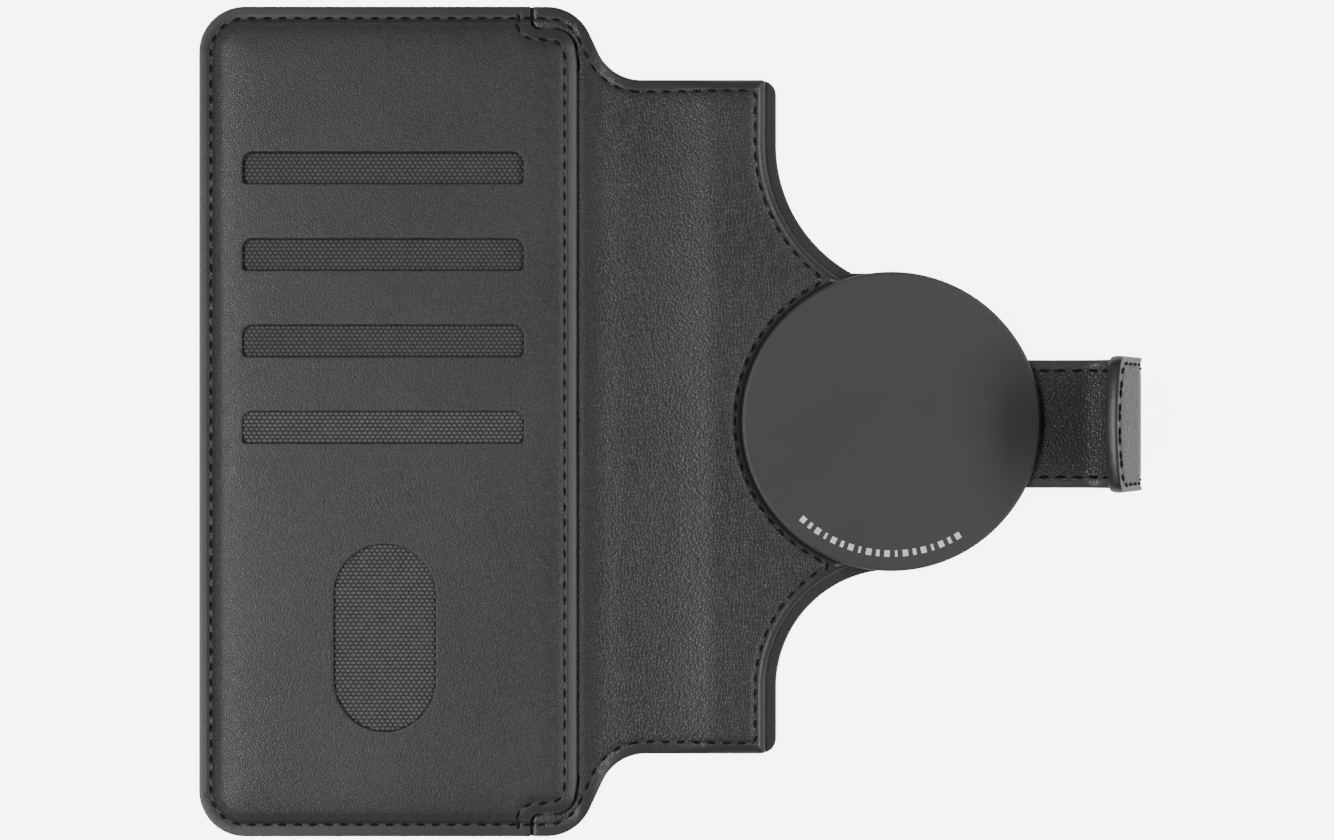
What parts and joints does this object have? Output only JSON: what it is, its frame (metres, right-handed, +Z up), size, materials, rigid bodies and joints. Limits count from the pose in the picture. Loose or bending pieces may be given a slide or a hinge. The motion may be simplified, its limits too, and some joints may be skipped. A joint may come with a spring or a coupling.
{
  "type": "phone wallet case",
  "caption": "Magnetic folio wallet case laid open: a card-pocket cover and a wing with a round magnetic phone pad fold on a soft spine, closed by a curled snap strap.",
  "frame": {"origin": "on the underside of the wing, below the centre of the magnetic disc", "axes": "+X from the spine towards the closing strap, +Y towards the top edge of the cover, +Z up out of the open inside of the case"},
  "size_m": [0.1867, 0.1676, 0.0307],
  "materials": {
    "grained_leather": "charcoal pebble-grained artificial leather, satin",
    "thread": "black twisted polyester thread",
    "pocket_weave": "dark grey woven lining cloth",
    "greyboard": "pressed paper board, matt",
    "disc_plastic": "moulded plastic, matt",
    "disc_film": "smooth charcoal film, silky",
    "print_ink": "pale grey printed ink",
    "steel": "plain rolled steel",
    "magnet_plating": "nickel-plated magnet",
    "edge_paint": "glossy black edge paint",
    "webbing": "thin woven reinforcement"
  },
  "bodies": {
    "wing": {"wing_outer_leather": "grained_leather", "wing_board": "greyboard", "wing_lining_leather": "grained_leather", "wing_thread": "thread", "disc_housing": "disc_plastic", "disc_yoke_ring": "steel", "disc_magnets": "magnet_plating", "disc_cover_film": "disc_film", "disc_printed_marks": "print_ink", "strap_root_outer_leather": "grained_leather", "strap_root_core": "webbing", "strap_root_inner_leather": "grained_leather", "strap_root_thread": "thread"},
    "spine": {"spine_outer_leather": "grained_leather", "spine_lining_leather": "grained_leather", "spine_thread": "thread"},
    "cover": {"cover_outer_leather": "grained_leather", "cover_hinge_lining": "grained_leather", "cover_board": "greyboard", "closure_keeper_plate": "steel", "pocket_fabric_1": "pocket_weave", "pocket_fabric_2": "pocket_weave", "pocket_fabric_3": "pocket_weave", "pocket_fabric_4": "pocket_weave", "card_panel_leather": "grained_leather", "cover_perimeter_thread": "thread", "card_panel_thread": "thread"},
    "strap": {"strap_outer_leather": "grained_leather", "strap_core": "webbing", "strap_inner_leather": "grained_leather", "strap_thread": "thread"},
    "tab": {"tab_outer_leather": "grained_leather", "tab_filler": "greyboard", "tab_magnet": "magnet_plating", "tab_inner_leather": "grained_leather", "tab_edge_paint": "edge_paint", "tab_thread": "thread"}
  },
  "joints": [
    {"name": "spine_fold", "type": "hinge", "parent": "wing", "child": "spine", "pos_m": [-0.0435, 0, 0.0008], "axis": [0, 1, 0], "range_deg": [-90, 90]},
    {"name": "cover_fold", "type": "hinge", "parent": "spine", "child": "cover", "pos_m": [-0.06, 0, 0.0008], "axis": [0, 1, 0], "range_deg": [-90, 90]},
    {"name": "strap_fold", "type": "hinge", "parent": "wing", "child": "strap", "pos_m": [0.033, -0.0005, 0.0018], "axis": [0, -1, 0], "range_deg": [-20, 32]},
    {"name": "tab_fold", "type": "hinge", "parent": "strap", "child": "tab", "pos_m": [0.0461, -0.0005, 0.016], "axis": [0, -1, 0], "range_deg": [-30, 26]}
  ]
}
